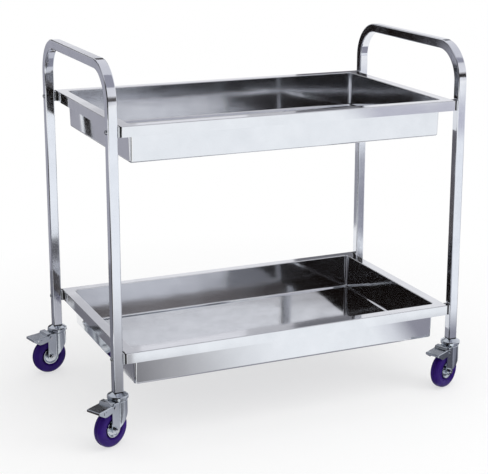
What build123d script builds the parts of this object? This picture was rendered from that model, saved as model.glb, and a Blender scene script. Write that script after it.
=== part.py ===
from build123d import *
import os
from math import cos, radians, sin

# Dish collection trolley of stainless steel: two deep trays bolted between two end frames of bent
# square tube, on four swivel casters with foot brakes.
# Millimetres, +X along the length, -Y to the front, +Z up.
# The origin is on the floor, midway between the four swivel axes.

# Overall size, over the end frames and up to the top of the handles
LENGTH = 985.0
DEPTH = 570.0
HEIGHT = 950.0

# End frames: one square tube each, bent into an upside-down U
TUBE = 25.0
TUBE_WALL = 1.2
TUBE_CORNER = 3.0
BEND_OUTER = 104.0
LEG_END = 137.0

# Trays: folded sheet pans, hung level with their rims between the end frames
UPPER_RIM_TOP = 800.0
LOWER_RIM_TOP = 234.0
SHEET = 1.0
RIM_WIDTH = 29.0
RIM_HEIGHT = 27.0
RIM_LIP = 9.0
RIM_CORNER = 3.0
RIM_FOLD = 2.0
PAN_DEPTH = 98.0
PAN_CORNER = 9.0
PAN_FOLD = 5.0
PAN_DRAFT = 2.0

# Joint between leg and tray: tube, steel spacer plate, black pad, skirt, nut
SPACER = 4.0
PAD = 3.0
PLATE_CORNER = 2.0
BOLT = 8.0
BOLT_HEAD = 14.0
BOLT_HEAD_HEIGHT = 4.4
BOLT_SOCKET = 5.0
BOLT_SOCKET_DEPTH = 2.6
BOLT_TIP = 1.5
BOLT_CLEARANCE = 0.2
NUT_WIDTH = 13.0
NUT_HEIGHT = 6.5

# Plug in the leg's end, with a flange that shows under the leg
PLUG_LENGTH = 34.0
PLUG_FLANGE = 2.5
PLUG_CLEARANCE = 0.1
STEM = 12.0
STEM_REACH = 31.0

# Swivel head: cap above, balls, neck of the fork below
CAP = 54.0
CAP_HEIGHT = 14.0
CAP_PLATE = 7.2
CAP_SKIRT = 2.0
CAP_CROWN = 26.0
CAP_ROUND = 3.6
NECK = 45.0
RACE = 35.0
BALL = 5.0
BALL_COUNT = 8
BALL_SEAT = 0.6
RIVET_HEAD = 21.0
RIVET_HEIGHT = 3.0
RIVET_ROUND = 2.4
RUNNING = 0.06
FREE = 0.4

# Wheel
WHEEL = 98.0
TYRE_WIDTH = 29.0
SHOULDER = 11.0
GROOVE_WIDTH = 4.0
GROOVE_DEPTH = 1.3
BEAD = 6.5
BEAD_INSET = 8.5
BEAD_ROUND = 2.5
RIM_SEAT = 45.0
RIM_WIDTH_WHEEL = 25.0
DISH_FLOOR = 34.0
DISH_DEPTH = 4.0
RIM_SHEET = 1.5
HUB_TUBE = 22.0
HUB_LENGTH = 32.8
BUSH = 18.0
SLEEVE = 12.0
AXLE = 8.0
AXLE_HEX = 13.0
AXLE_HEAD = 5.3
AXLE_NUT = 6.5
AXLE_THREAD = 2.0

# Fork: a pressed housing, round in front, with a flat plate each side of the wheel
TRAIL = 28.0
FORK_GAP = 34.0
FORK_PLATE = 2.5
FORK_SKIRT = 48.0
FORK_TOP = 116.0
FORK_SKIRT_DROP = 23.0
FORK_REACH = 32.0
FORK_SHOULDER = 7.0
FORK_END = 11.0
FORK_END_ROUND = 9.9
FORK_FOLD = 2.0
FORK_CREASE = 3.0

# Brake: pedal outside the fork's plates, on a rivet, with a step over the fork and a pad over the tyre
PIVOT_REACH = 30.0
PIVOT_RISE = 105.0
PIVOT = 6.0
PIVOT_EYE = 13.0
PIVOT_HEAD = 10.0
PIVOT_HEAD_HEIGHT = 1.5
PEDAL_SHEET = 2.0
PEDAL_ROOT = 44.0
PEDAL_TOE = 86.0
PEDAL_RISE = 8.0
PEDAL_SLOPE = 3.0
PEDAL_LIP = 6.0
PEDAL_CHEEK = 62.0
PEDAL_CHEEK_DROP = 13.0
PEDAL_CHEEK_FLAT = 4.0
PEDAL_FOLD = 2.0
PEDAL_SIDE_FOLD = 1.8
CHEEK_SLOT = 2.0
CHEEK_SLOT_HEIGHT = 8.0
CHEEK_SLOT_REACH = 69.0
CHEEK_HOLE = 3.0
CHEEK_HOLE_REACH = 61.0
STEP_GAP = 1.0
STEP_RISE = 1.0
STEP_LEAN = 2.5
STEP_CLEARANCE = 2.5
PEDAL_TRAVEL = 12.0
PAD_LENGTH = 12.0
PAD_WIDTH = 24.0
PAD_START = 45.0
PAD_GAP = 0.5

# How far a cut runs past the faces that it opens, and how near two lengths are when they are the same
PAST = 1.0
SAME = 0.01

# Where each caster points at rest: the angle from straight back along -X, turned to the front
HEADINGS = {
    "front_left": 27.5,
    "front_right": 24.0,
    "rear_left": 12.5,
    "rear_right": 20.0,
}
SIDES = {
    "front_left": (-1, -1),
    "front_right": (1, -1),
    "rear_left": (-1, 1),
    "rear_right": (1, 1),
}

# Places worked out from the sizes above
LEG_X = LENGTH / 2 - TUBE / 2
LEG_Y = DEPTH / 2 - TUBE / 2
LEG_INNER_X = LENGTH / 2 - TUBE
TRAY_LENGTH = 2 * (LEG_INNER_X - SPACER - PAD)
SKIRT_X = TRAY_LENGTH / 2
CAP_TOP = LEG_END - PLUG_FLANGE
CAP_UNDER = CAP_TOP - CAP_PLATE
BALL_Z = CAP_UNDER - RUNNING - BALL / 2
NECK_TOP = BALL_Z - BALL / 2 + BALL_SEAT
NECK_UNDER = NECK_TOP - FORK_PLATE
AXLE_Z = WHEEL / 2
FORK_INNER = FORK_GAP / 2
FORK_OUTER = FORK_INNER + FORK_PLATE
FORK_BACK = TRAIL + FORK_END
CHEEK_INNER = FORK_OUTER + FREE
CHEEK_OUTER = CHEEK_INNER + PEDAL_SHEET
PEDAL_TOP = PIVOT_RISE + PEDAL_RISE


def upright(radius, low, high):
    """Cylinder on the Z axis between two heights."""
    return Pos(0, 0, low) * Cylinder(radius, high - low, align=(Align.CENTER, Align.CENTER, Align.MIN))


def crosswise(radius, reach, rise, left, right):
    """Cylinder along Y at a place in the XZ plane, between two offsets."""
    round_bar = Cylinder(radius, right - left, align=(Align.CENTER, Align.CENTER, Align.MAX))
    return Pos(reach, left, rise) * Rot(90, 0, 0) * round_bar


def turned(points):
    """Solid of revolution about Z from a closed outline of (radius, height) points."""
    return revolve(Plane.XZ * make_face(Polyline(*points, close=True)), Axis.Z)


def across(outline, half_width):
    """Flat outline in the XZ plane, extruded both ways along Y."""
    return extrude(Plane.XZ * outline, amount=half_width, both=True)


def end_frame(side):
    """Bent square tube: two legs and the handle between them, with a hole for each tray bolt."""
    top = HEIGHT - TUBE / 2
    corners = [(-LEG_Y, LEG_END), (-LEG_Y, top), (LEG_Y, top), (LEG_Y, LEG_END)]
    path = Plane.YZ * FilletPolyline(*corners, radius=BEND_OUTER - TUBE / 2)
    bore = TUBE - 2 * TUBE_WALL
    section = RectangleRounded(TUBE, TUBE, TUBE_CORNER)
    section -= RectangleRounded(bore, bore, TUBE_CORNER - TUBE_WALL)
    tube = sweep(Pos(0, -LEG_Y, LEG_END) * section, path=path)
    for rim_top in (UPPER_RIM_TOP, LOWER_RIM_TOP):
        for y in (-LEG_Y, LEG_Y):
            hole = Cylinder(BOLT / 2 + BOLT_CLEARANCE, 2 * TUBE)
            tube -= Pos(0, y, rim_top - RIM_HEIGHT / 2) * Rot(0, 90, 0) * hole
    return Pos(side * LEG_X, 0, 0) * tube


def pan_solid(inset, floor):
    """Tapered block with folded lower edges: the pan's outside, or its inside when inset by the sheet."""
    length = TRAY_LENGTH - 2 * RIM_WIDTH - 2 * inset
    width = DEPTH - 2 * RIM_WIDTH - 2 * inset
    mouth = RectangleRounded(length, width, PAN_CORNER - inset)
    solid = extrude(mouth, amount=-floor, taper=PAN_DRAFT)
    lower_edges = solid.faces().sort_by(Axis.Z)[0].edges()
    return fillet(lower_edges, PAN_FOLD - inset)


def rim_solid(inset, height):
    """Block of the rim's outside, or of its channel when inset by the sheet, with folded upper edges."""
    length = TRAY_LENGTH - 2 * inset
    width = DEPTH - 2 * inset
    solid = extrude(RectangleRounded(length, width, RIM_CORNER - inset), amount=-height)
    upper_edges = solid.faces().sort_by(Axis.Z)[-1].edges()
    return fillet(upper_edges, RIM_FOLD - inset)


def tray(rim_top):
    """Sheet pan with a flat rim, a turned-down skirt and a return lip, drilled for the bolts."""
    outside = pan_solid(-SHEET, PAN_DEPTH)
    inside = pan_solid(0, PAN_DEPTH - SHEET)
    channel = Pos(0, 0, -SHEET) * rim_solid(SHEET, RIM_HEIGHT)
    lip_opening = Rectangle(TRAY_LENGTH - 2 * RIM_LIP, DEPTH - 2 * RIM_LIP)
    lip = Rectangle(TRAY_LENGTH - 2 * SHEET, DEPTH - 2 * SHEET) - lip_opening
    body = rim_solid(0, RIM_HEIGHT) - channel + outside
    fold_edges = body.faces().filter_by(Axis.Z).sort_by(Axis.Z)[-2].inner_wires()[0].edges()
    body = fillet(fold_edges, RIM_FOLD - SHEET) - inside
    mouth_edges = body.faces().filter_by(Axis.Z).sort_by(Axis.Z)[-1].inner_wires()[0].edges()
    body = fillet(mouth_edges, RIM_FOLD)
    body += Pos(0, 0, -RIM_HEIGHT) * extrude(lip, amount=SHEET)
    for x in (-SKIRT_X, SKIRT_X):
        for y in (-LEG_Y, LEG_Y):
            hole = Rot(0, 90, 0) * Cylinder(BOLT / 2 + BOLT_CLEARANCE, 4 * SHEET)
            body -= Pos(x, y, -RIM_HEIGHT / 2) * hole
    return Pos(0, 0, rim_top) * body


def joint_places():
    """The eight places where a tray is bolted to a leg: side, Y and height."""
    return [
        (side, y, rim_top - RIM_HEIGHT / 2)
        for rim_top in (UPPER_RIM_TOP, LOWER_RIM_TOP)
        for y in (-LEG_Y, LEG_Y)
        for side in (-1, 1)
    ]


def at_joints(piece):
    """Copies of a piece modelled along +Z (outward) from the leg's inner face, one at each joint."""
    return Compound(
        children=[
            Pos(side * LEG_INNER_X, y, z) * Rot(0, 90 * side, 0) * piece for side, y, z in joint_places()
        ]
    )


def joint_plate(near, thickness):
    """Plate as tall as the rim and as wide as the leg, lying inward from a given depth."""
    plate = extrude(RectangleRounded(RIM_HEIGHT, TUBE, PLATE_CORNER), amount=-thickness)
    plate -= Cylinder(BOLT / 2 + BOLT_CLEARANCE, 4 * thickness)
    return Pos(0, 0, -near) * plate


def tray_bolt():
    """Domed bolt through the leg, the spacer and the skirt, with a hexagon socket."""
    stack = SPACER + PAD + SHEET + NUT_HEIGHT + BOLT_TIP
    head_radius = BOLT_HEAD / 2
    dome_radius = (head_radius**2 + BOLT_HEAD_HEIGHT**2) / (2 * BOLT_HEAD_HEIGHT)
    dome = Pos(0, 0, TUBE + BOLT_HEAD_HEIGHT - dome_radius) * Sphere(dome_radius)
    head = dome & upright(head_radius + PAST, TUBE, TUBE + BOLT_HEAD_HEIGHT)
    socket = extrude(RegularPolygon(BOLT_SOCKET / 2, 6, major_radius=False), amount=BOLT_SOCKET_DEPTH)
    head -= Pos(0, 0, TUBE + BOLT_HEAD_HEIGHT - BOLT_SOCKET_DEPTH) * socket
    return head + upright(BOLT / 2, -stack, TUBE)


def rim_nut():
    """Hexagon nut inside the rim's channel, on the back of the skirt."""
    seat = SPACER + PAD + SHEET
    nut = extrude(RegularPolygon(NUT_WIDTH / 2, 6, major_radius=False), amount=-NUT_HEIGHT)
    nut -= Cylinder(BOLT / 2, 4 * NUT_HEIGHT)
    return Pos(0, 0, -seat) * nut


def leg_plug():
    """Square plug in the tube, with a flange under the leg's end and a thread for the stem."""
    width = TUBE - 2 * TUBE_WALL - 2 * PLUG_CLEARANCE
    shank = RectangleRounded(width, width, TUBE_CORNER - TUBE_WALL)
    plug = Pos(0, 0, LEG_END) * extrude(shank, amount=PLUG_LENGTH)
    flange = RectangleRounded(TUBE, TUBE, TUBE_CORNER)
    plug += Pos(0, 0, CAP_TOP) * extrude(flange, amount=PLUG_FLANGE)
    return plug - upright(STEM / 2, CAP_TOP - PAST, LEG_END + PLUG_LENGTH + PAST)


def caster_stem():
    """Threaded stem in the plug, that is the king pin below and is riveted over under the fork."""
    head_top = NECK_UNDER - FREE
    stem = upright(STEM / 2, head_top, LEG_END + STEM_REACH)
    stem = chamfer(stem.edges().filter_by(GeomType.CIRCLE).sort_by(Axis.Z)[-1], BOLT_TIP)
    head = upright(RIVET_HEAD / 2, head_top - RIVET_HEIGHT, head_top)
    head = fillet(head.edges().filter_by(GeomType.CIRCLE).sort_by(Axis.Z)[0], RIVET_ROUND)
    return stem + head


def swivel_cap():
    """Domed cap that carries the load from the plug to the balls, with a skirt round the neck."""
    radius = CAP / 2
    bottom = CAP_TOP - CAP_HEIGHT
    outline = [
        (STEM / 2, CAP_TOP),
        (CAP_CROWN / 2, CAP_TOP),
        (radius, CAP_UNDER),
        (radius, bottom),
        (radius - CAP_SKIRT, bottom),
        (radius - CAP_SKIRT, CAP_UNDER),
        (STEM / 2, CAP_UNDER),
    ]
    cap = turned(outline)
    rounded = [e for e in cap.edges().filter_by(GeomType.CIRCLE) if abs(e.radius - CAP_CROWN / 2) < SAME]
    shoulder = cap.edges().filter_by(GeomType.CIRCLE).filter_by(lambda e: abs(e.radius - radius) < SAME)
    rounded.append(shoulder.sort_by(Axis.Z)[-1])
    return fillet(rounded, CAP_ROUND)


def swivel_balls():
    """Ring of balls between the cap and the fork's neck."""
    ball = Pos(RACE / 2, 0, BALL_Z) * Sphere(BALL / 2)
    return Compound(children=[Rot(0, 0, n * 360 / BALL_COUNT) * ball for n in range(BALL_COUNT)])


def fork():
    """Pressed housing: neck and top, round skirt in front and a plate each side, open at the back."""
    skirt = FORK_SKIRT / 2
    low = AXLE_Z - FORK_END
    side = [
        (-skirt, FORK_TOP),
        (FORK_REACH, FORK_TOP),
        (FORK_BACK, FORK_TOP - FORK_SHOULDER),
        (FORK_BACK, low),
        (TRAIL - FORK_END / 2, low),
        (-skirt, FORK_TOP - FORK_SKIRT_DROP),
    ]
    side_face = make_face(Polyline(*side, close=True))
    lower_corners = side_face.vertices().sort_by(Axis.Y)[:2]
    side_face = fillet(lower_corners, FORK_END_ROUND)
    plan = Circle(skirt) + Pos(FORK_BACK / 2, 0) * Rectangle(FORK_BACK, 2 * FORK_OUTER)
    housing = extrude(plan, amount=FORK_TOP)
    creases = [e for e in housing.edges().filter_by(Axis.Z) if PAST < e.center().X < FORK_BACK - PAST]
    housing = fillet(creases, FORK_CREASE)
    housing = fillet(housing.faces().sort_by(Axis.Z)[-1].edges(), FORK_FOLD)
    hollow_plan = Circle(skirt - FORK_PLATE) + Pos(FORK_BACK, 0) * Rectangle(2 * FORK_BACK, FORK_GAP)
    hollow = extrude(hollow_plan, amount=FORK_TOP - FORK_PLATE)
    body = (housing & across(side_face, FORK_SKIRT)) - hollow
    body += upright(NECK / 2, FORK_TOP - FORK_PLATE, NECK_TOP)
    body -= upright(NECK / 2 - FORK_PLATE, FORK_TOP - 2 * FORK_PLATE, NECK_UNDER)
    body -= upright(STEM / 2 + RUNNING, NECK_UNDER - PAST, NECK_TOP + PAST)
    body -= Pos(0, 0, BALL_Z) * Torus(RACE / 2, BALL / 2)
    body -= crosswise(AXLE / 2, TRAIL, AXLE_Z, -FORK_SKIRT, FORK_SKIRT)
    body -= crosswise(PIVOT / 2, PIVOT_REACH, PIVOT_RISE, -FORK_SKIRT, FORK_SKIRT)
    return body


def on_axle(piece):
    """Moves a piece modelled on the Z axis, centred at the origin, on to the wheel's axle."""
    return Pos(TRAIL, 0, AXLE_Z) * Rot(-90, 0, 0) * piece


def axle_sleeve():
    """Tube clamped between the fork's plates, that the wheel's bush runs on."""
    return on_axle(Cylinder(SLEEVE / 2, FORK_GAP) - Cylinder(AXLE / 2, FORK_GAP))


def axle_bolt():
    """Hexagon bolt through the fork and the sleeve, with its nut."""
    hexagon = RegularPolygon(AXLE_HEX / 2, 6, major_radius=False)
    head = Pos(0, 0, -FORK_OUTER) * extrude(hexagon, amount=-AXLE_HEAD)
    bolt = head + upright(AXLE / 2, -FORK_OUTER, FORK_OUTER + AXLE_NUT + AXLE_THREAD)
    nut = Pos(0, 0, FORK_OUTER) * extrude(hexagon, amount=AXLE_NUT)
    nut -= upright(AXLE / 2, 0, 2 * FORK_SKIRT)
    return Compound(children=[on_axle(bolt), on_axle(nut)])


def wheel_bush():
    """Plain bearing in the wheel's hub, running on the sleeve."""
    return on_axle(Cylinder(BUSH / 2, HUB_LENGTH) - Cylinder(SLEEVE / 2 + RUNNING, HUB_LENGTH))


def wheel_rim():
    """Two pressed halves, back to back: hub tube, dished web and the seat of the tyre."""
    seat = RIM_SEAT / 2
    edge = RIM_WIDTH_WHEEL / 2
    floor = edge - DISH_DEPTH
    tube = HUB_TUBE / 2
    wall = RIM_SHEET
    outline = [
        (BUSH / 2, 0),
        (BUSH / 2, HUB_LENGTH / 2),
        (tube, HUB_LENGTH / 2),
        (tube, floor),
        (DISH_FLOOR / 2, floor),
        (seat - wall, edge),
        (seat, edge),
        (seat, 0),
        (seat - wall, 0),
        (seat - wall, edge - wall - wall / 2),
        (DISH_FLOOR / 2 + wall / 2, floor - wall),
        (tube - wall / 2, floor - wall),
        (tube - wall / 2, 0),
    ]
    half = turned(outline)
    return Compound(children=[on_axle(half), on_axle(Rot(180, 0, 0) * half)])


def tyre():
    """Solid tyre: round shoulders, a shallow groove in the tread and a deep one beside the rim's edge."""
    radius = WHEEL / 2
    half = TYRE_WIDTH / 2
    seat = RIM_SEAT / 2
    groove = GROOVE_WIDTH / 2
    low = radius - GROOVE_DEPTH
    tread = half - SHOULDER
    right = [(seat, half - BEAD_INSET), (seat + BEAD, half), (radius - SHOULDER, half)]
    outline = Polyline((seat, BEAD_INSET - half), *right)
    outline += RadiusArc((radius - SHOULDER, half), (radius, tread), SHOULDER)
    outline += Line((radius, tread), (radius, groove))
    outline += Polyline((radius, groove), (low, groove / 2), (low, -groove / 2), (radius, -groove))
    outline += Line((radius, -groove), (radius, -tread))
    outline += RadiusArc((radius, -tread), (radius - SHOULDER, -half), SHOULDER)
    outline += Polyline((radius - SHOULDER, -half), (seat + BEAD, -half), (seat, BEAD_INSET - half))
    section = make_face(outline)
    beads = [v for v in section.vertices() if abs(v.X - seat - BEAD) < SAME]
    return on_axle(revolve(Plane.XZ * fillet(beads, BEAD_ROUND), Axis.Z))


def pedal_height(reach):
    """Height of the pedal plate's upper face at a distance from the swivel axis."""
    return PEDAL_TOP - PEDAL_SLOPE * (reach - PEDAL_ROOT) / (PEDAL_TOE - PEDAL_ROOT)


def brake_pedal():
    """Pressed pedal: toe plate with turned-down cheeks and lip, eyes on the rivet and a step behind."""
    toe_top = pedal_height(PEDAL_TOE)
    cheek_low = PIVOT_RISE - PEDAL_CHEEK_DROP
    eye = PIVOT_EYE / 2
    side = [
        (PIVOT_REACH, PIVOT_RISE + eye),
        (PEDAL_ROOT, PEDAL_TOP),
        (PEDAL_TOE, toe_top),
        (PEDAL_TOE, toe_top - PEDAL_LIP),
        (PEDAL_CHEEK + PEDAL_CHEEK_FLAT, cheek_low),
        (PEDAL_CHEEK - PEDAL_CHEEK_FLAT, cheek_low),
        (PIVOT_REACH, PIVOT_RISE - eye),
    ]
    side_face = make_face(Polyline(*side, close=True)) + Pos(PIVOT_REACH, PIVOT_RISE) * Circle(eye)
    shell = across(side_face, CHEEK_OUTER)
    toe_edges = shell.edges().filter_by(Axis.Y).filter_by(lambda e: e.center().X > PEDAL_ROOT + PAST)
    shell = fillet(toe_edges.sort_by(Axis.Z)[-1], PEDAL_FOLD)
    side_edges = [e for e in shell.edges() if abs(abs(e.center().Y) - CHEEK_OUTER) < SAME]
    long_edges = [
        e for e in side_edges
        if e.center().X > PEDAL_ROOT + PAST and e.center().Z > toe_top and e.length > PEDAL_TOE - PEDAL_CHEEK
    ]
    shell = fillet(long_edges, PEDAL_SIDE_FOLD)
    under_root = pedal_height(PEDAL_ROOT) - PEDAL_SHEET
    lip = PEDAL_TOE - PEDAL_SHEET
    under_lip = pedal_height(lip) - PEDAL_SHEET
    below = [
        (PEDAL_ROOT, HEIGHT),
        (PEDAL_ROOT, under_root),
        (lip, under_lip),
        (lip, 0),
        (0, 0),
        (0, HEIGHT),
    ]
    pedal = shell - across(make_face(Polyline(*below, close=True)), CHEEK_INNER)
    step_under = FORK_TOP + STEP_GAP
    step_top = step_under + PEDAL_SHEET
    step_front = PEDAL_ROOT + PEDAL_SHEET - STEP_LEAN
    step_end = CAP / 2 + STEP_CLEARANCE
    step = [
        (PEDAL_ROOT, under_root),
        (PEDAL_ROOT + PEDAL_SHEET, under_root),
        (PEDAL_ROOT + PEDAL_SHEET, PEDAL_TOP),
        (step_front, step_top),
        (step_end, step_top + STEP_RISE),
        (step_end, step_under + STEP_RISE),
        (PEDAL_ROOT - STEP_LEAN, step_under),
    ]
    step_face = make_face(Polyline(*step, close=True))
    bend = step_face.vertices().filter_by(lambda v: abs(v.X - step_front) < SAME)
    pedal += across(fillet(bend, PEDAL_FOLD), CHEEK_INNER)
    slot_rise = PIVOT_RISE - PIVOT_EYE / 2 + CHEEK_SLOT_HEIGHT / 2
    cuts = Pos(CHEEK_SLOT_REACH, slot_rise) * Rot(0, 0, 90) * SlotOverall(CHEEK_SLOT_HEIGHT, CHEEK_SLOT)
    cuts += Pos(CHEEK_HOLE_REACH, PIVOT_RISE) * Circle(CHEEK_HOLE / 2)
    pedal -= across(cuts, FORK_SKIRT)
    return pedal - crosswise(PIVOT / 2 + RUNNING, PIVOT_REACH, PIVOT_RISE, -FORK_SKIRT, FORK_SKIRT)


def brake_pad():
    """Pad under the pedal, hollowed so that it lies along the tread when the pedal is down."""
    end = PAD_START + PAD_LENGTH
    outline = [
        (PAD_START, pedal_height(PAD_START) - PEDAL_SHEET),
        (end, pedal_height(end) - PEDAL_SHEET),
        (end, AXLE_Z),
        (PAD_START, AXLE_Z),
    ]
    pad = across(make_face(Polyline(*outline, close=True)), PAD_WIDTH / 2)
    turn = radians(PEDAL_TRAVEL)
    back = TRAIL - PIVOT_REACH
    down = AXLE_Z - PIVOT_RISE
    tread_reach = PIVOT_REACH + back * cos(turn) - down * sin(turn)
    tread_rise = PIVOT_RISE + back * sin(turn) + down * cos(turn)
    return pad - crosswise(WHEEL / 2 + PAD_GAP, tread_reach, tread_rise, -PAD_WIDTH, PAD_WIDTH)


def brake_pivot():
    """Rivet through the fork's plates and the pedal's eyes, with a head outside each cheek."""
    rivet = crosswise(PIVOT / 2, PIVOT_REACH, PIVOT_RISE, -CHEEK_OUTER - FREE, CHEEK_OUTER + FREE)
    for side in (-1, 1):
        inner = side * (CHEEK_OUTER + FREE)
        outer = inner + side * PIVOT_HEAD_HEIGHT
        low, high = sorted((inner, outer))
        rivet += crosswise(PIVOT_HEAD / 2, PIVOT_REACH, PIVOT_RISE, low, high)
    return rivet


def at_corner(corner, piece, heading=0.0):
    """Moves a caster's piece from the origin to its leg, turned so that +X trails to its heading."""
    side_x, side_y = SIDES[corner]
    return Pos(side_x * LEG_X, side_y * LEG_Y, 0) * Rot(0, 0, heading) * piece


def at_legs(piece):
    """Copies of a piece that doesn't swivel, one under each leg."""
    return Compound(children=[at_corner(corner, piece) for corner in SIDES])


nodes = {
    "left_end_frame": end_frame(-1),
    "right_end_frame": end_frame(1),
    "upper_tray": tray(UPPER_RIM_TOP),
    "lower_tray": tray(LOWER_RIM_TOP),
    "spacer_plates": at_joints(joint_plate(0, SPACER)),
    "joint_pads": at_joints(joint_plate(SPACER, PAD)),
    "tray_bolts": at_joints(tray_bolt()),
    "rim_nuts": at_joints(rim_nut()),
    "leg_plugs": at_legs(leg_plug()),
    "caster_stems": at_legs(caster_stem()),
    "swivel_caps": at_legs(swivel_cap()),
}
caster = {
    "fork": fork(),
    "swivel_balls": swivel_balls(),
    "axle_sleeve": axle_sleeve(),
    "axle_bolt": axle_bolt(),
    "wheel_bush": wheel_bush(),
    "wheel_rim": wheel_rim(),
    "tyre": tyre(),
    "brake_pedal": brake_pedal(),
    "brake_pad": brake_pad(),
    "brake_pivot": brake_pivot(),
}
for corner, heading in HEADINGS.items():
    for name, piece in caster.items():
        nodes[f"{name}_{corner}"] = at_corner(corner, piece, 180 + heading)

os.makedirs("parts", exist_ok=True)
for name, shape in nodes.items():
    export_step(shape, f"parts/{name}.step")
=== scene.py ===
from math import cos, pi, radians, sin

import bmesh
import bpy
from mathutils import Matrix, Vector


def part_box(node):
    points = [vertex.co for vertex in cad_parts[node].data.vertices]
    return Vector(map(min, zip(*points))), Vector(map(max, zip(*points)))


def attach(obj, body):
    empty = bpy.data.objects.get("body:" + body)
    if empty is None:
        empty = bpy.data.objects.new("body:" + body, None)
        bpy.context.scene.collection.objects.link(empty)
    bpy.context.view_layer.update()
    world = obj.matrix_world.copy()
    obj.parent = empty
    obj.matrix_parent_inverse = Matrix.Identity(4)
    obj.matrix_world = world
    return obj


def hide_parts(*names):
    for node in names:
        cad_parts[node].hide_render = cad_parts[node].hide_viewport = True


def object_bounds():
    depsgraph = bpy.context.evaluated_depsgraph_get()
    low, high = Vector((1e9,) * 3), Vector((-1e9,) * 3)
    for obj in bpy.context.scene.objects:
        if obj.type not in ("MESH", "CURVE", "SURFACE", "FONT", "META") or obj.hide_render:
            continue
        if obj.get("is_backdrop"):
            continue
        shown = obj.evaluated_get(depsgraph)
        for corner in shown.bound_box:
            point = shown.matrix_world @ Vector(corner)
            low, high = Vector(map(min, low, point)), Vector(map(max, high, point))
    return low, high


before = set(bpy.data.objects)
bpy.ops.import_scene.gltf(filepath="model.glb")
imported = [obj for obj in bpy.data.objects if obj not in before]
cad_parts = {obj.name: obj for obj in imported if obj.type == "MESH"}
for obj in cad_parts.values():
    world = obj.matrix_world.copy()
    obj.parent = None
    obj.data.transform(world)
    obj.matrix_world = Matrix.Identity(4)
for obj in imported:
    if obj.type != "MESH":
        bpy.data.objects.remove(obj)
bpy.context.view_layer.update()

# End frames
# Each is one length of square stainless tube, cold bent into an upside-down U, so that the legs and the
# push handle are one piece. The tube is polished along its length after bending.
MM = 0.001
TUBE = 25 * MM
TUBE_CORNER = 3 * MM
TUBE_CORNER_STEPS = 6
BEND_OUTER = 104 * MM
BEND_STEPS = 20
WELD = 0.001 * MM


def linear(text):
    """sRGB hex colour as linear RGBA."""
    parts = [int(text[i:i + 2], 16) / 255 for i in (1, 3, 5)]
    return [c / 12.92 if c <= 0.04045 else ((c + 0.055) / 1.055) ** 2.4 for c in parts] + [1.0]


def add(tree, kind, inputs=(), **settings):
    """Adds a shader node. inputs maps a socket to a value or to the output that feeds it."""
    node = tree.nodes.new("ShaderNode" + kind)
    for key, value in settings.items():
        setattr(node, key, value)
    for key, value in dict(inputs).items():
        if isinstance(value, bpy.types.NodeSocket):
            tree.links.new(value, node.inputs[key])
        else:
            node.inputs[key].default_value = value
    return node


# Most of a noise texture's values lie between these two, and a scratch is where they are near their highest.
NOISE_LOW, NOISE_HIGH = 0.3, 0.7
PATCH_MM = 70
SCRATCH_LONG_MM = 45
SCRATCH_WIDE_MM = 0.7
SCRATCH_STARTS, SCRATCH_FULL = 0.64, 0.74
SCRATCH_TURNS = ((0, 0, 0.5), (0, 0.7, 0.2))


def steel(name, light, dark, rough, grain_mm, grain_depth, wave_mm, wave_depth, scratched=0.05):
    """Steel with its grain drawn along one way, a slow waviness, patches that are duller than the rest and
    hairline scratches.

    light and dark are its colours, rough its least and greatest roughness, grain_mm the grain's size
    along X, Y and Z, wave_mm the waves' length, scratched what a scratch adds to the roughness, and the
    depths are in millimetres."""
    material = bpy.data.materials.new(name)
    material.use_nodes = True
    tree = material.node_tree
    surface = tree.nodes["Principled BSDF"]
    place = add(tree, "TexCoord").outputs["Object"]
    patches = add(
        tree, "TexNoise", {"Vector": place, "Scale": 1 / (PATCH_MM * MM), "Detail": 4.0, "Roughness": 0.6}
    ).outputs["Fac"]
    colour = add(tree, "Mix", {0: patches, 6: linear(light), 7: linear(dark)}, data_type="RGBA")
    dull = add(tree, "MapRange", {
        "Value": patches, "From Min": NOISE_LOW, "From Max": NOISE_HIGH,
        "To Min": rough[0], "To Max": rough[1],
    }).outputs["Result"]
    # Real scratches are finer than a pixel, so these are drawn wide enough to show.
    for turn in SCRATCH_TURNS:
        drawn = add(tree, "Mapping", {
            "Vector": place, "Rotation": turn,
            "Scale": [1 / (size * MM) for size in (SCRATCH_LONG_MM, SCRATCH_WIDE_MM, SCRATCH_WIDE_MM)],
        })
        streaks = add(tree, "TexNoise", {"Vector": drawn.outputs["Vector"], "Scale": 1.0, "Detail": 1.0})
        worn = add(tree, "MapRange", {
            "Value": streaks.outputs["Fac"], "From Min": SCRATCH_STARTS, "From Max": SCRATCH_FULL,
            "To Max": scratched,
        })
        dull = add(tree, "Math", {0: dull, 1: worn.outputs["Result"]}, operation="ADD").outputs[0]
    # The real grain is a few hundredths of a millimetre wide, and is drawn coarser for the same reason.
    along = add(tree, "Mapping", {"Vector": place, "Scale": [1 / (size * MM) for size in grain_mm]})
    grain = add(tree, "TexNoise", {"Vector": along.outputs["Vector"], "Scale": 1.0, "Detail": 2.0})
    waves = add(tree, "TexNoise", {"Vector": place, "Scale": 1 / (wave_mm * MM), "Detail": 1.0})
    slow = add(tree, "Bump", {"Height": waves.outputs["Fac"], "Distance": wave_depth * MM, "Strength": 1.0})
    fine = add(tree, "Bump", {
        "Height": grain.outputs["Fac"], "Distance": grain_depth * MM, "Normal": slow.outputs["Normal"],
    })
    tree.links.new(colour.outputs[2], surface.inputs["Base Color"])
    tree.links.new(dull, surface.inputs["Roughness"])
    tree.links.new(fine.outputs["Normal"], surface.inputs["Normal"])
    surface.inputs["Metallic"].default_value = 1.0
    return material


# Polished stainless steel: it mirrors the room almost sharply, with fine lines along the tube.
polished_tube = steel(
    "polished stainless tube", light="#f1f3f7", dark="#dfe2e9", rough=(0.06, 0.14),
    grain_mm=(1.5, 90, 90), grain_depth=0.003, wave_mm=70, wave_depth=0.2,
)


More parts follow.
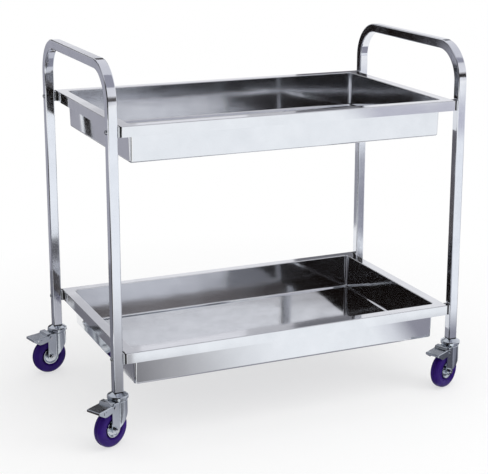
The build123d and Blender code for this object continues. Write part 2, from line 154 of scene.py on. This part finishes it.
def straight_run(bm, ring, move):
    """Extrudes an open ring of edges by a straight move and returns the new ring."""
    edges = [part for part in ring if isinstance(part, bmesh.types.BMEdge)]
    made = bmesh.ops.extrude_edge_only(bm, edges=edges)["geom"]
    bmesh.ops.translate(bm, verts=[part for part in made if isinstance(part, bmesh.types.BMVert)], vec=move)
    return [part for part in made if not isinstance(part, bmesh.types.BMFace)]


for side in ("left", "right"):
    low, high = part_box(f"{side}_end_frame")
    middle_x = (low.x + high.x) / 2
    leg_y = (high.y - low.y) / 2 - TUBE / 2
    bend = BEND_OUTER - TUBE / 2
    bend_z = high.z - BEND_OUTER
    bm = bmesh.new()
    square = bmesh.ops.create_grid(bm, x_segments=1, y_segments=1, size=TUBE / 2)["verts"]
    bmesh.ops.bevel(
        bm, geom=square, offset=TUBE_CORNER, offset_type="OFFSET", segments=TUBE_CORNER_STEPS, profile=0.5,
        affect="VERTICES", material=-1,
    )
    bmesh.ops.delete(bm, geom=bm.faces[:], context="FACES_ONLY")
    bmesh.ops.translate(bm, verts=bm.verts, vec=(middle_x, -leg_y, low.z))
    ring = straight_run(bm, bm.edges[:], (0, 0, bend_z - low.z))
    across = (0, 2 * (leg_y - bend), 0)
    down = (0, 0, low.z - bend_z)
    for turn_y, onward in ((bend - leg_y, across), (leg_y - bend, down)):
        ring = bmesh.ops.spin(
            bm, geom=ring, cent=(middle_x, turn_y, bend_z), axis=(-1, 0, 0), dvec=(0, 0, 0),
            angle=pi / 2, steps=BEND_STEPS, use_duplicate=False,
        )["geom_last"]
        ring = straight_run(bm, ring, onward)
    bmesh.ops.holes_fill(bm, edges=bm.edges, sides=0)
    bmesh.ops.remove_doubles(bm, verts=bm.verts, dist=WELD)
    bmesh.ops.recalc_face_normals(bm, faces=bm.faces)
    for face in bm.faces:
        face.smooth = True
    mesh = bpy.data.meshes.new(f"{side}_bent_tube")
    bm.to_mesh(mesh)
    bm.free()
    mesh.materials.append(polished_tube)
    piece = bpy.data.objects.new(f"{side}_bent_tube", mesh)
    bpy.context.scene.collection.objects.link(piece)
    weighted = piece.modifiers.new("flat faces stay flat", "WEIGHTED_NORMAL")
    weighted.weight = 100
    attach(piece, "trolley")
    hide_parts(f"{side}_end_frame")

# Trays
# Each is folded from one stainless sheet: a deep pan with a flat rim, a turned-down skirt and a return lip.
# The skirt's ends are bolted to the legs, so the trays brace the two end frames.


def dress(material, *nodes):
    """Gives CAD nodes their finish."""
    for node in nodes:
        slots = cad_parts[node].data.materials
        slots.clear()
        slots.append(material)


# Bright rolled sheet: it mirrors softly along the rolling grain, and its large faces are never quite flat.
rolled_sheet = steel(
    "bright rolled stainless sheet", light="#f3f4f6", dark="#e2e4e7", rough=(0.05, 0.1),
    grain_mm=(80, 2, 2), grain_depth=0.003, wave_mm=140, wave_depth=0.5,
)
dress(rolled_sheet, "upper_tray", "lower_tray")

# Joints between legs and trays
# A steel spacer plate and a black rubber pad lie between each leg and the skirt, and one domed bolt with a
# hexagon socket goes through them all to a nut inside the rim.

# Satin stainless plate: brushed one way, so it shows a pale even sheen and hardly an image.
satin_spacer = steel(
    "satin stainless spacer", light="#e0e2e5", dark="#cdd0d4", rough=(0.2, 0.3),
    grain_mm=(1.5, 20, 1.5), grain_depth=0.008, wave_mm=40, wave_depth=0.05,
)
# Bright plated steel: formed cold and then plated, so the small round heads glint.
bright_plate = steel(
    "bright plated fasteners", light="#dde0e4", dark="#c3c7cc", rough=(0.1, 0.22),
    grain_mm=(3, 3, 3), grain_depth=0.004, wave_mm=12, wave_depth=0.02,
)
dress(satin_spacer, "spacer_plates")
dress(bright_plate, "tray_bolts", "rim_nuts")

CLOUD_MM = 25
# Painted shade for grooves and hollows: this near-black colour, in full where the occlusion is under the
# first number and gone above the second.
GROOVE_SHADE = "#060507"
GROOVE_SHADE_FULL, GROOVE_SHADE_ENDS = 0.35, 0.8


def moulded(name, light, dark, rough, grit_mm, grit_depth, groove_shade_mm=4, specular=0.5):
    """Rubber or plastic from a mould: a colour that varies a little, a fine grit, and painted shade that
    darkens grooves as narrow as the given width. The grit is drawn coarser than the real one, so that it
    shows."""
    material = bpy.data.materials.new(name)
    material.use_nodes = True
    tree = material.node_tree
    surface = tree.nodes["Principled BSDF"]
    place = add(tree, "TexCoord").outputs["Object"]
    patches = add(
        tree, "TexNoise", {"Vector": place, "Scale": 1 / (CLOUD_MM * MM), "Detail": 3.0}
    ).outputs["Fac"]
    unshaded = add(tree, "Mix", {0: patches, 6: linear(light), 7: linear(dark)}, data_type="RGBA")
    # Painted shade: the surface's own occlusion finds its grooves and hollows, and the colour there is mixed
    # towards near black.
    grooves = add(tree, "AmbientOcclusion", {"Distance": groove_shade_mm * MM}, samples=8, only_local=True)
    open_share = add(tree, "MapRange", {
        "Value": grooves.outputs["AO"], "From Min": GROOVE_SHADE_FULL, "From Max": GROOVE_SHADE_ENDS,
    }).outputs["Result"]
    colour = add(tree, "Mix", {0: open_share, 6: linear(GROOVE_SHADE), 7: unshaded.outputs[2]}, data_type="RGBA")
    dull = add(tree, "MapRange", {
        "Value": patches, "From Min": NOISE_LOW, "From Max": NOISE_HIGH,
        "To Min": rough[0], "To Max": rough[1],
    })
    grit = add(tree, "TexNoise", {"Vector": place, "Scale": 1 / (grit_mm * MM), "Detail": 3.0})
    bump = add(tree, "Bump", {"Height": grit.outputs["Fac"], "Distance": grit_depth * MM})
    tree.links.new(colour.outputs[2], surface.inputs["Base Color"])
    tree.links.new(dull.outputs["Result"], surface.inputs["Roughness"])
    tree.links.new(bump.outputs["Normal"], surface.inputs["Normal"])
    surface.inputs["Specular IOR Level"].default_value = specular
    return material


# Moulded rubber: near black and dull. At the joints the pads' black also stands in as painted shade for the
# gap there, so the pads show as a dark line beside the bright plates.
black_rubber = moulded(
    "black rubber pads", light="#121214", dark="#0b0b0c", rough=(0.55, 0.75), grit_mm=1.5, grit_depth=0.03,
)
dress(black_rubber, "joint_pads")

# Leg plugs and caster stems
# A moulded plug is driven into the end of each leg. The caster's threaded stem, turned from steel and zinc
# plated, screws up into it and is riveted over under the fork.

# Moulded nylon: black with a low sheen.
black_nylon = moulded(
    "black moulded nylon", light="#17171a", dark="#0e0e10", rough=(0.35, 0.5), grit_mm=1.2, grit_depth=0.02,
)
# Zinc plate: bright and a little blue, cloudier than polished steel.
zinc = steel(
    "bright zinc plate", light="#dce1e7", dark="#b9c0c8", rough=(0.08, 0.22),
    grain_mm=(4, 4, 4), grain_depth=0.006, wave_mm=16, wave_depth=0.05,
)
dress(black_nylon, "leg_plugs")
dress(zinc, "caster_stems")

# Swivel caps and forks
# Both are pressed from steel sheet and zinc plated. The cap stays with the stem, and the fork, a neck with a
# round skirt in front and a plate each side of the wheel, turns under it on a ring of steel balls.
CORNERS = ("front_left", "front_right", "rear_left", "rear_right")
dress(zinc, "swivel_caps", *(f"fork_{corner}" for corner in CORNERS))
dress(bright_plate, *(f"swivel_balls_{corner}" for corner in CORNERS))

# Wheels and axles
# A violet-blue tyre with two lobes sits on a rim of two pressed halves, and the nylon bush in its hub runs on
# a steel sleeve. The axle bolt clamps the sleeve between the fork's plates.

# Cast polyurethane: a deep violet with a soft sheen, and painted shade makes the groove between the lobes
# dark.
violet_tyre = moulded(
    "violet-blue polyurethane", light="#310b77", dark="#210856", rough=(0.3, 0.45), grit_mm=2.0,
    grit_depth=0.02, groove_shade_mm=7, specular=0.2,
)
# Natural nylon: off-white and waxy.
white_nylon = moulded(
    "natural nylon bush", light="#d9d6cc", dark="#c9c5b8", rough=(0.4, 0.5), grit_mm=1.2, grit_depth=0.02,
)
for corner in CORNERS:
    dress(violet_tyre, f"tyre_{corner}")
    dress(white_nylon, f"wheel_bush_{corner}")
    dress(zinc, f"wheel_rim_{corner}", f"axle_sleeve_{corner}")
    dress(bright_plate, f"axle_bolt_{corner}")

# Foot brakes
# Each pedal is pressed from zinc-plated sheet, with turned-down cheeks, and tips on a rivet through the
# fork's plates. Pressed down, it puts its rubber pad on the tyre.
for corner in CORNERS:
    dress(zinc, f"brake_pedal_{corner}")
    dress(bright_plate, f"brake_pivot_{corner}")
    dress(black_rubber, f"brake_pad_{corner}")

# Camera
# It stands to the left of the front and looks down into the trays from above the handles, as in the
# photograph. Its place, turn and lens were solved from the trolley's straight edges, in pixels.
PHOTO_WIDTH, PHOTO_HEIGHT = 488, 474
FOCAL_PX = 1342.9
PRINCIPAL_PX = (284.3, 200.3)
CAMERA_PLACE = (-1.4268, -3.2497, 1.4039)
AZIMUTH, ELEVATION, ROLL = radians(-25.14), radians(14.13), radians(0.43)
camera = bpy.data.objects.new("camera", bpy.data.cameras.new("camera"))
bpy.context.scene.collection.objects.link(camera)
backward = Vector((sin(AZIMUTH) * cos(ELEVATION), -cos(AZIMUTH) * cos(ELEVATION), sin(ELEVATION)))
level = Vector((0, 0, 1)).cross(backward).normalized()
upright = backward.cross(level)
rightward = cos(ROLL) * level + sin(ROLL) * upright
upward = cos(ROLL) * upright - sin(ROLL) * level
turn = Matrix((rightward, upward, backward)).transposed()
camera.matrix_world = Matrix.Translation(CAMERA_PLACE) @ turn.to_4x4()
camera.data.sensor_width = 36
camera.data.lens = FOCAL_PX * camera.data.sensor_width / PHOTO_WIDTH
camera.data.shift_x = (PHOTO_WIDTH / 2 - PRINCIPAL_PX[0]) / PHOTO_WIDTH
camera.data.shift_y = (PRINCIPAL_PX[1] - PHOTO_HEIGHT / 2) / PHOTO_WIDTH
camera.data.clip_end = 100
bpy.context.scene.camera = camera

# Surround
# A white studio. The camera sees it white, the metal mirrors it a little greyer overhead, and as a light it
# is weaker, so that it fills the shadow without washing it out.
FILL_STRENGTH = 0.7
SURROUND_LOW, SURROUND_OVERHEAD = "#ececf0", "#d6d6dd"
OVERHEAD_STARTS, OVERHEAD_FULL = 0.3, 0.9


def looked_at(tree):
    """1 for rays from the camera, mirrors and glass, and 0 for those that only carry light."""
    path = add(tree, "LightPath").outputs
    seen = path["Is Camera Ray"]
    for kind in ("Is Glossy Ray", "Is Transmission Ray"):
        seen = add(tree, "Math", {0: seen, 1: path[kind]}, operation="ADD", use_clamp=True).outputs[0]
    return seen


bpy.context.scene.view_settings.view_transform = "Standard"
world = bpy.data.worlds.new("studio")
bpy.context.scene.world = world
world.use_nodes = True
tree = world.node_tree
strength = add(tree, "MapRange", {"Value": looked_at(tree), "To Min": FILL_STRENGTH, "To Max": 1.0})
height = add(tree, "SeparateXYZ", {"Vector": add(tree, "TexCoord").outputs["Generated"]}).outputs["Z"]
overhead = add(
    tree, "MapRange", {"Value": height, "From Min": OVERHEAD_STARTS, "From Max": OVERHEAD_FULL}
).outputs["Result"]
mirrored = add(
    tree, "Mix", {0: overhead, 6: linear(SURROUND_LOW), 7: linear(SURROUND_OVERHEAD)}, data_type="RGBA"
).outputs[2]
by_mirror = add(tree, "LightPath").outputs["Is Glossy Ray"]
colour = add(tree, "Mix", {0: by_mirror, 6: linear("#ffffff"), 7: mirrored}, data_type="RGBA")
tree.links.new(strength.outputs["Result"], tree.nodes["Background"].inputs["Strength"])
tree.links.new(colour.outputs[2], tree.nodes["Background"].inputs["Color"])

# Floor
# A plain pale floor. Round the trolley part of it is a lit surface, which keeps the soft shadow, and from
# there it fades to plain white.


def card(name, rows, shown=False):
    """Stage piece through rows of corners. Each row is its corners and their colours, one for all or one for
    each, and the colours run into each other. A card that isn't shown is seen by mirrors alone."""
    rows = [
        list(zip(corners, [colours] * len(corners) if isinstance(colours, str) else colours))
        for corners, colours in rows
    ]
    bm = bmesh.new()
    shade = bm.verts.layers.float_color.new("shade")
    for near, far in zip(rows, rows[1:]):
        for i in range(len(near) - 1):
            verts = []
            for corner, colour in (near[i], near[i + 1], far[i + 1], far[i]):
                verts.append(bm.verts.new(corner))
                verts[-1][shade] = linear(colour)
            bmesh.ops.contextual_create(bm, geom=verts)
    mesh = bpy.data.meshes.new(name)
    bm.to_mesh(mesh)
    bm.free()
    piece = bpy.data.objects.new(name, mesh)
    bpy.context.scene.collection.objects.link(piece)
    material = bpy.data.materials.new(name)
    material.use_nodes = True
    mesh.materials.append(material)
    if not shown:
        tree = material.node_tree
        colour = add(tree, "Attribute", attribute_name="shade").outputs["Color"]
        glow = add(tree, "Emission", {"Color": colour, "Strength": 1.0})
        tree.links.new(glow.outputs["Emission"], tree.nodes["Material Output"].inputs["Surface"])
        piece.visible_camera = False
        piece.visible_diffuse = False
        piece.visible_shadow = False
        piece.visible_transmission = False
    piece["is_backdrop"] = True
    return material


FLOOR = "#f7f7f7"
FLOOR_HALF = 12.0
FADE_STARTS, FADE_ENDS = 0.6, 1.5
WHITE_NEAR = 0.6
floor = card("floor", [
    ([(-FLOOR_HALF, y, 0), (FLOOR_HALF, y, 0)], FLOOR) for y in (-FLOOR_HALF, FLOOR_HALF)
], shown=True)
tree = floor.node_tree
place = add(tree, "TexCoord").outputs["Object"]
distance = add(tree, "VectorMath", {0: place}, operation="LENGTH").outputs["Value"]
fade = add(
    tree, "MapRange",
    {"Value": distance, "From Min": FADE_STARTS, "From Max": FADE_ENDS, "To Min": WHITE_NEAR},
).outputs["Result"]
white = add(tree, "Math", {0: looked_at(tree), 1: fade}, operation="MULTIPLY", use_clamp=True)
glow = add(tree, "Emission", {"Color": linear("#ffffff"), "Strength": 1.0})
lit = tree.nodes["Principled BSDF"]
lit.inputs["Base Color"].default_value = linear(FLOOR)
lit.inputs["Roughness"].default_value = 0.9
mixed = add(tree, "MixShader", {0: white.outputs[0], 1: lit.outputs["BSDF"], 2: glow.outputs["Emission"]})
tree.links.new(mixed.outputs["Shader"], tree.nodes["Material Output"].inputs["Surface"])

# Room that the metal mirrors
# Upright cards that only mirrors see. They stand for a room that is dark behind the camera and at its far
# left end, grey to the left, and in dim and pale bands behind the trolley and in front of it.


def wall(name, places, *rows):
    """Upright card along a line of places on the floor. Each row is a height and its colours, one for all the
    places or one for each."""
    card(name, [([(*place, height) for place in places], colours) for height, colours in rows])


DARK_ROOM = "#120d0b"
DUSKY_ROOM = "#3c3a3c"
DIM_ROOM = "#74747a"
GREY_ROOM = "#94949a"
PALE_ROOM = "#b4b4ba"
ROOM_LOW = [GREY_ROOM] * 4 + [DARK_ROOM] * 3 + [DIM_ROOM]
ROOM_MIDDLE = [GREY_ROOM] * 3 + [DARK_ROOM] * 4 + [DIM_ROOM]
ROOM_HIGH = [DARK_ROOM] + [PALE_ROOM] * 3 + [DARK_ROOM] * 3 + [DIM_ROOM]
ROOM_TOP = [DARK_ROOM] + [PALE_ROOM] * 3 + [DIM_ROOM] * 4
wall(
    "room to the left and behind the camera", [
        (-2.9, 3.45), (-4.35, 1.2), (-4.35, 0.3), (-4.35, -0.5), (-4.35, -1.2), (-2.25, -3.9), (-0.3, -4.36),
        (0.7, -4.6),
    ],
    (0, ROOM_LOW), (1.5, ROOM_LOW), (1.9, ROOM_MIDDLE), (2.7, ROOM_MIDDLE), (3.2, ROOM_HIGH), (5.7, ROOM_TOP),
    (7.5, PALE_ROOM),
)
wall(
    "dark end of the room behind", [(-2.9, 3.45), (-2.0, 4.0)],
    (0.3, DIM_ROOM), (0.8, DARK_ROOM), (2.7, DARK_ROOM), (3.9, DIM_ROOM),
)
BAND = [DARK_ROOM, DARK_ROOM, DUSKY_ROOM, DIM_ROOM]
wall(
    "band behind", [(-2.0, 4.0), (-1.6, 4.07), (-1.3, 4.13), (0.2, 4.4)],
    (1.0, DIM_ROOM), (1.35, BAND), (2.2, BAND),
)
PALE_BAND_LOW, PALE_BAND_HIGH = 1.58, 2.3
for name, places, colour in (
    ("grey band behind", [(0.2, 4.4), (1.1, 4.2)], "#c6c6cc"),
    ("pale band behind", [(1.1, 4.2), (1.75, 4.06)], "#e4e4ea"),
    ("grey band behind, right", [(1.75, 4.06), (2.05, 4.0)], "#bcbcc2"),
):
    wall(name, places, (PALE_BAND_LOW, colour), (PALE_BAND_HIGH, colour))
wall("dim band behind, right", [(2.05, 4.0), (2.42, 3.81)], (0.9, DIM_ROOM), (PALE_BAND_HIGH, DIM_ROOM))
PANEL = ["#3a3636", "#3a3636", DIM_ROOM, DIM_ROOM]
wall(
    "dim panel behind", [(0.2, 4.4), (1.1, 4.2), (2.05, 4.0), (3.2, 3.4)],
    (PALE_BAND_HIGH, PANEL), (3.6, PANEL),
)
SHADE_BEHIND, SHADE_BEHIND_NEAR = "#4e4a4b", "#66646a"
wall("dim strip behind", [(-0.5, 1.1), (-0.15, 1.1)], (0, SHADE_BEHIND), (0.45, SHADE_BEHIND_NEAR))
wall("dark strip behind, high", [(-0.88, 2.0), (-0.35, 2.0)], (0.36, DARK_ROOM), (0.8, DARK_ROOM))
FRONT = [(0.7, -4.6), (1.4, -4.71), (2.0, -4.8), (2.5, -4.53), (5.0, -3.2)]
DARK_FRONT = ["#2b2523", "#7d797b", "#6a6668", "#1c1817", "#2b2523"]
DIM_FRONT = "#a8a6a8"
HIGH_FRONT = "#9a9aa6"
wall("dark band in front", FRONT, (1.25, DARK_FRONT), (2.0, DARK_FRONT))
wall("dim band in front", FRONT, (2.0, DIM_FRONT), (2.3, DIM_FRONT))
wall("dim wall in front", FRONT, (5.0, HIGH_FRONT), (20, HIGH_FRONT))

# Floor that the metal mirrors
# Cards just above the floor that only mirrors see. They stand for a bright cool floor, shaded under and
# beside the trolley, grey to the left and behind, and dark by the camera.
MAT = 2 * MM
MAT_UNDER, MAT_OVER = MAT - MM, MAT + MM


def mat(name, rows, colours, height=MAT):
    """Flat card through rows of places on the floor. colours is one for all of it, or one for each row, which
    may itself be one for each place."""
    if isinstance(colours, str):
        colours = [colours] * len(rows)
    card(name, [([(*place, height) for place in row], shades) for row, shades in zip(rows, colours)])


COOL = "#f8fbff"
mat("cool floor in front", [
    [(-0.5, -0.4), (3.0, -0.4)], [(-0.45, -0.8), (3.6, -0.8)], [(0.7, -4.6), (5.0, -4.6)],
], COOL, height=MAT_UNDER)
LEG_SHADE, LEG_SHADE_EDGE, LEG_SHADE_PALE = "#7c7c80", "#8c8c90", "#b4b4b8"
FRONT_X = (-0.46, -0.34, -0.22, -0.05, 0.1, 0.4, 0.47, 0.54, 0.86)
FRONT_SHADES = [
    LEG_SHADE, LEG_SHADE_EDGE, LEG_SHADE_PALE, "#e4e6ea", COOL, COOL, "#dfe1e8", "#9494a0", "#8a8a96",
]
mat("floor in front of the trays", [
    [(x, -0.42) for x in FRONT_X], [(x + 0.06, -0.66) for x in FRONT_X], [(x + 0.14, -0.84) for x in FRONT_X],
], [FRONT_SHADES, FRONT_SHADES, COOL])
mat("floor before the left leg", [
    [(-0.47, -0.55), (-0.36, -0.55)], [(-0.34, -0.95), (-0.22, -0.95)], [(-0.17, -1.5), (-0.05, -1.5)],
], [[LEG_SHADE, LEG_SHADE_EDGE], [LEG_SHADE_PALE, "#c6c6ca"], COOL], height=MAT_OVER)
DIM_FLOOR = "#96969e"
OPEN_CORNER, OPEN_EDGE = "#d4d4da", "#c4c4ca"
mat("shade under the trays", [
    [(-0.4, -0.43), (-0.24, -0.43), (-0.1, -0.43), (0.42, -0.43)],
    [(-0.4, -0.3), (-0.24, -0.3), (-0.1, -0.3), (0.42, -0.3)],
    [(-0.42, 0.3), (-0.24, 0.3), (-0.1, 0.3), (0.42, 0.3)],
], [
    [OPEN_CORNER, OPEN_EDGE, DIM_FLOOR, DIM_FLOOR], [OPEN_EDGE, DIM_FLOOR, DIM_FLOOR, DIM_FLOOR], DIM_FLOOR,
], height=MAT_OVER)
mat("shade by the right front caster", [
    [(0.5, -0.42), (0.95, -0.42)], [(0.5, -0.25), (0.95, -0.25)],
], "#606068", height=MAT_OVER)
mat("dim floor behind, near", [
    [(-0.24, 0.4), (0.15, 0.4)], [(-0.5, 1.1), (-0.15, 1.1)],
], [SHADE_BEHIND_NEAR, SHADE_BEHIND], height=MAT_OVER)
mat("dim floor behind", [
    [(-0.45, 1.3), (0.0, 1.3)], [(-0.85, 2.6), (-0.3, 2.6)],
], DIM_FLOOR, height=MAT_OVER)
SHADED_FLOOR = "#45403f"
mat("shaded floor to the left", [
    [(-0.55, -0.42), (-1.0, 0.1), (-1.35, 0.45)],
    [(-0.6, -0.85), (-1.4, -0.35), (-1.75, 0.3)],
    [(-0.7, -1.3), (-1.9, -0.9), (-2.4, 0.1)],
], [SHADED_FLOOR, SHADED_FLOOR, COOL], height=MAT_OVER)
BY_CAMERA = [COOL, DARK_ROOM, DARK_ROOM]
mat("dark floor by the camera", [
    [(-2.0, -1.9), (-1.6, -1.9), (-1.1, -1.9)],
    [(-2.3, -2.3), (-1.9, -2.3), (-1.1, -2.3)],
    [(-2.6, -3.6), (-2.1, -4.0), (-1.1, -4.2)],
], [COOL, BY_CAMERA, BY_CAMERA], height=MAT_OVER)
mat("grey floor behind, left", [
    [(-3.4, 1.2), (-0.6, 1.2)], [(-3.8, 2.0), (-0.86, 2.0)], [(-5.6, 9.0), (0.0, 9.0)],
], "#a4a4ae")
mat("dim floor to the left", [[(-1.6, -0.25), (-0.5, -0.25)], [(-3.4, 1.2), (-0.6, 1.2)]], "#76767e")
mat("dim floor to the right", [
    [(0.95, -0.45), (2.2, -0.45)], [(1.0, -0.85), (2.2, -0.85)], [(1.2, -1.25), (2.2, -1.6)],
    [(1.6, -1.93), (2.2, -2.3)],
], "#9494a0")
mat("grey floor in front, right", [[(2.1, -3.4), (4.2, -2.4)], [(2.3, -4.6), (4.6, -3.4)]], "#c0c0ce")

# Lamps
# Two soft square lamps at a plain level, one overhead and one to the front right. They light the rubber and
# the floor, and the metal doesn't mirror them.


def lamp(name, place, aim, size, power):
    """Soft square lamp, aimed at a place on the trolley."""
    light = bpy.data.lights.new(name, "AREA")
    light.size = size
    light.energy = power
    softbox = bpy.data.objects.new(name, light)
    bpy.context.scene.collection.objects.link(softbox)
    softbox.visible_glossy = False
    softbox.location = place
    softbox.rotation_euler = (Vector(aim) - Vector(place)).to_track_quat("-Z", "Y").to_euler()


lamp("overhead softbox", place=(0.3, -0.6, 3.4), aim=(0, 0, 0.4), size=2.6, power=40)
lamp("front right softbox", place=(2.6, -2.6, 2.0), aim=(0, 0, 0.5), size=1.8, power=28)

low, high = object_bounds()
